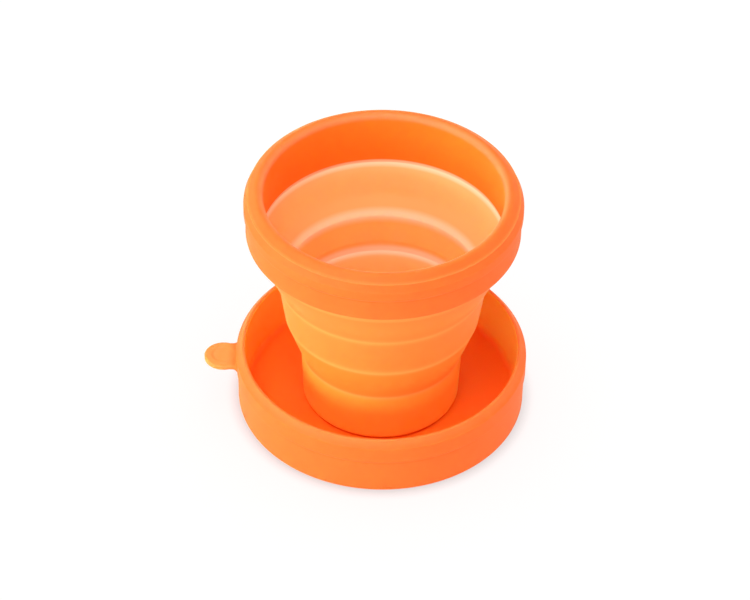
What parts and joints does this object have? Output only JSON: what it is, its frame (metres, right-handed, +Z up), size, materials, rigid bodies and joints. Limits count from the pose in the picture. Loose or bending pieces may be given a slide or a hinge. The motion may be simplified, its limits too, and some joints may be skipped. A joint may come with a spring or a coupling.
{
  "type": "collapsible travel cup",
  "caption": "Collapsible silicone travel cup of stiff rings joined by thin webs that fold inside out, standing in its lid, a shallow dish with a pull tab.",
  "frame": {"origin": "centre of the flat underside of the lid, on the surface that the lid and cup stand on", "axes": "+Z up along the axis of the cup and the lid, -X towards the pull tab of the lid"},
  "size_m": [0.0951, 0.0856, 0.0779],
  "materials": {
    "silicone": "satin, slightly translucent",
    "thin_silicone": "satin, translucent"
  },
  "bodies": {
    "lid": {"lid_dish": "silicone"},
    "tab": {"pull_tab": "silicone"},
    "base": {"base_cup": "silicone", "base_strip": "thin_silicone", "lower_web": "thin_silicone"},
    "middle": {"middle_lower_strip": "thin_silicone", "middle_ring": "silicone", "middle_upper_strip": "thin_silicone", "upper_web": "thin_silicone"},
    "rim": {"rim_strip": "thin_silicone", "rim_ring": "silicone"}
  },
  "joints": [
    {"name": "cup_lift", "type": "slide", "parent": "lid", "child": "base", "axis": [0, 0, 1], "range_m": [0, 0.06]},
    {"name": "lower_fold", "type": "slide", "parent": "base", "child": "middle", "axis": [0, 0, -1], "range_m": [0, 0.0272], "deforming": ["lower_web"]},
    {"name": "upper_fold", "type": "slide", "parent": "middle", "child": "rim", "axis": [0, 0, -1], "range_m": [0, 0.0272], "deforming": ["upper_web"]},
    {"name": "tab_flex", "type": "hinge", "parent": "lid", "child": "tab", "pos_m": [-0.044, 0, 0.0132], "axis": [0, 1, 0], "range_deg": [-45, 60], "stiffness_Nm_per_rad": 0.002}
  ]
}
